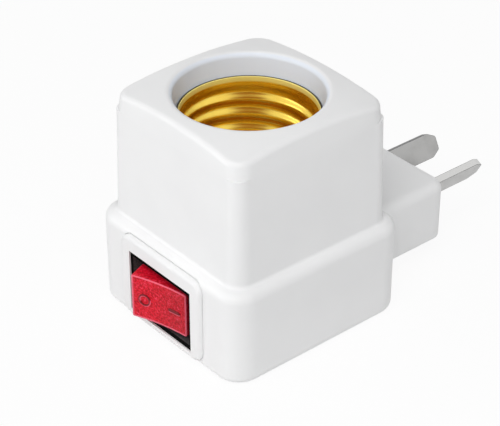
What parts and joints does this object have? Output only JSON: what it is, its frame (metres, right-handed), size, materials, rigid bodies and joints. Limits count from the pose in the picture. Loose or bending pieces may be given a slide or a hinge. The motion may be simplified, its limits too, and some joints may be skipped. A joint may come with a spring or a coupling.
{
  "type": "plug in lamp holder",
  "caption": "Plug-in lamp holder: a screw-shell socket in a square, domed moulded housing, with a rocker switch in front and leaning flat blades behind.",
  "frame": {"origin": "on the lamp's axis, at the underside", "axes": "+Z out of the lamp socket, +Y along the plug blades, away from the rocker switch, +X to the right as seen from the switch"},
  "size_m": [0.0432, 0.0837, 0.048],
  "materials": {
    "housing": "smooth white moulding, satin",
    "cover": "smooth white moulding, satin",
    "block": "smooth white moulding, satin",
    "frame": "smooth white moulding, satin",
    "retainer": "plain moulding",
    "disc": "matt insulating moulding",
    "case": "black moulding, fine matt",
    "rocker": "red moulding with a fine matt texture",
    "plunger": "plain moulding",
    "shell": "bright rolled sheet",
    "contact": "bright pressed sheet",
    "rivets": "bright",
    "terminals": "bright pressed sheet",
    "blades": "nickel plated, satin",
    "screws": "bright zinc",
    "spring": "bright wire",
    "dark_lead": "insulation",
    "pale_lead": "insulation"
  },
  "bodies": {
    "holder": {"lamp_housing": "housing", "base_cover": "cover", "plug_block": "block", "blade_retainer": "retainer", "line_blade": "blades", "neutral_blade": "blades", "screw_shell": "shell", "socket_base": "disc", "centre_contact": "contact", "contact_rivet": "rivets", "shell_rivets": "rivets", "socket_screws": "screws", "cover_screws": "screws", "switch_frame": "frame", "switch_case": "case", "common_terminal": "terminals", "output_terminal": "terminals", "line_lead": "dark_lead", "switched_lead": "dark_lead", "neutral_lead": "pale_lead"},
    "switch_rocker": {"rocker": "rocker", "rocker_plunger": "plunger", "rocker_spring": "spring"},
    "contact_plate": {"seesaw_contact": "contact"}
  },
  "joints": [
    {"name": "rocker_turn", "type": "hinge", "parent": "holder", "child": "switch_rocker", "pos_m": [0, -0.0199, 0.00975], "axis": [0, 0, 1], "range_deg": [-33, 0]},
    {"name": "plate_turn", "type": "hinge", "parent": "holder", "child": "contact_plate", "pos_m": [0, -0.0129, 0.00975], "axis": [0, 0, 1], "range_deg": [0, 12]}
  ],
  "couplings": [
    {"joint": "plate_turn", "follows": "rocker_turn", "ratio": -0.36364}
  ]
}
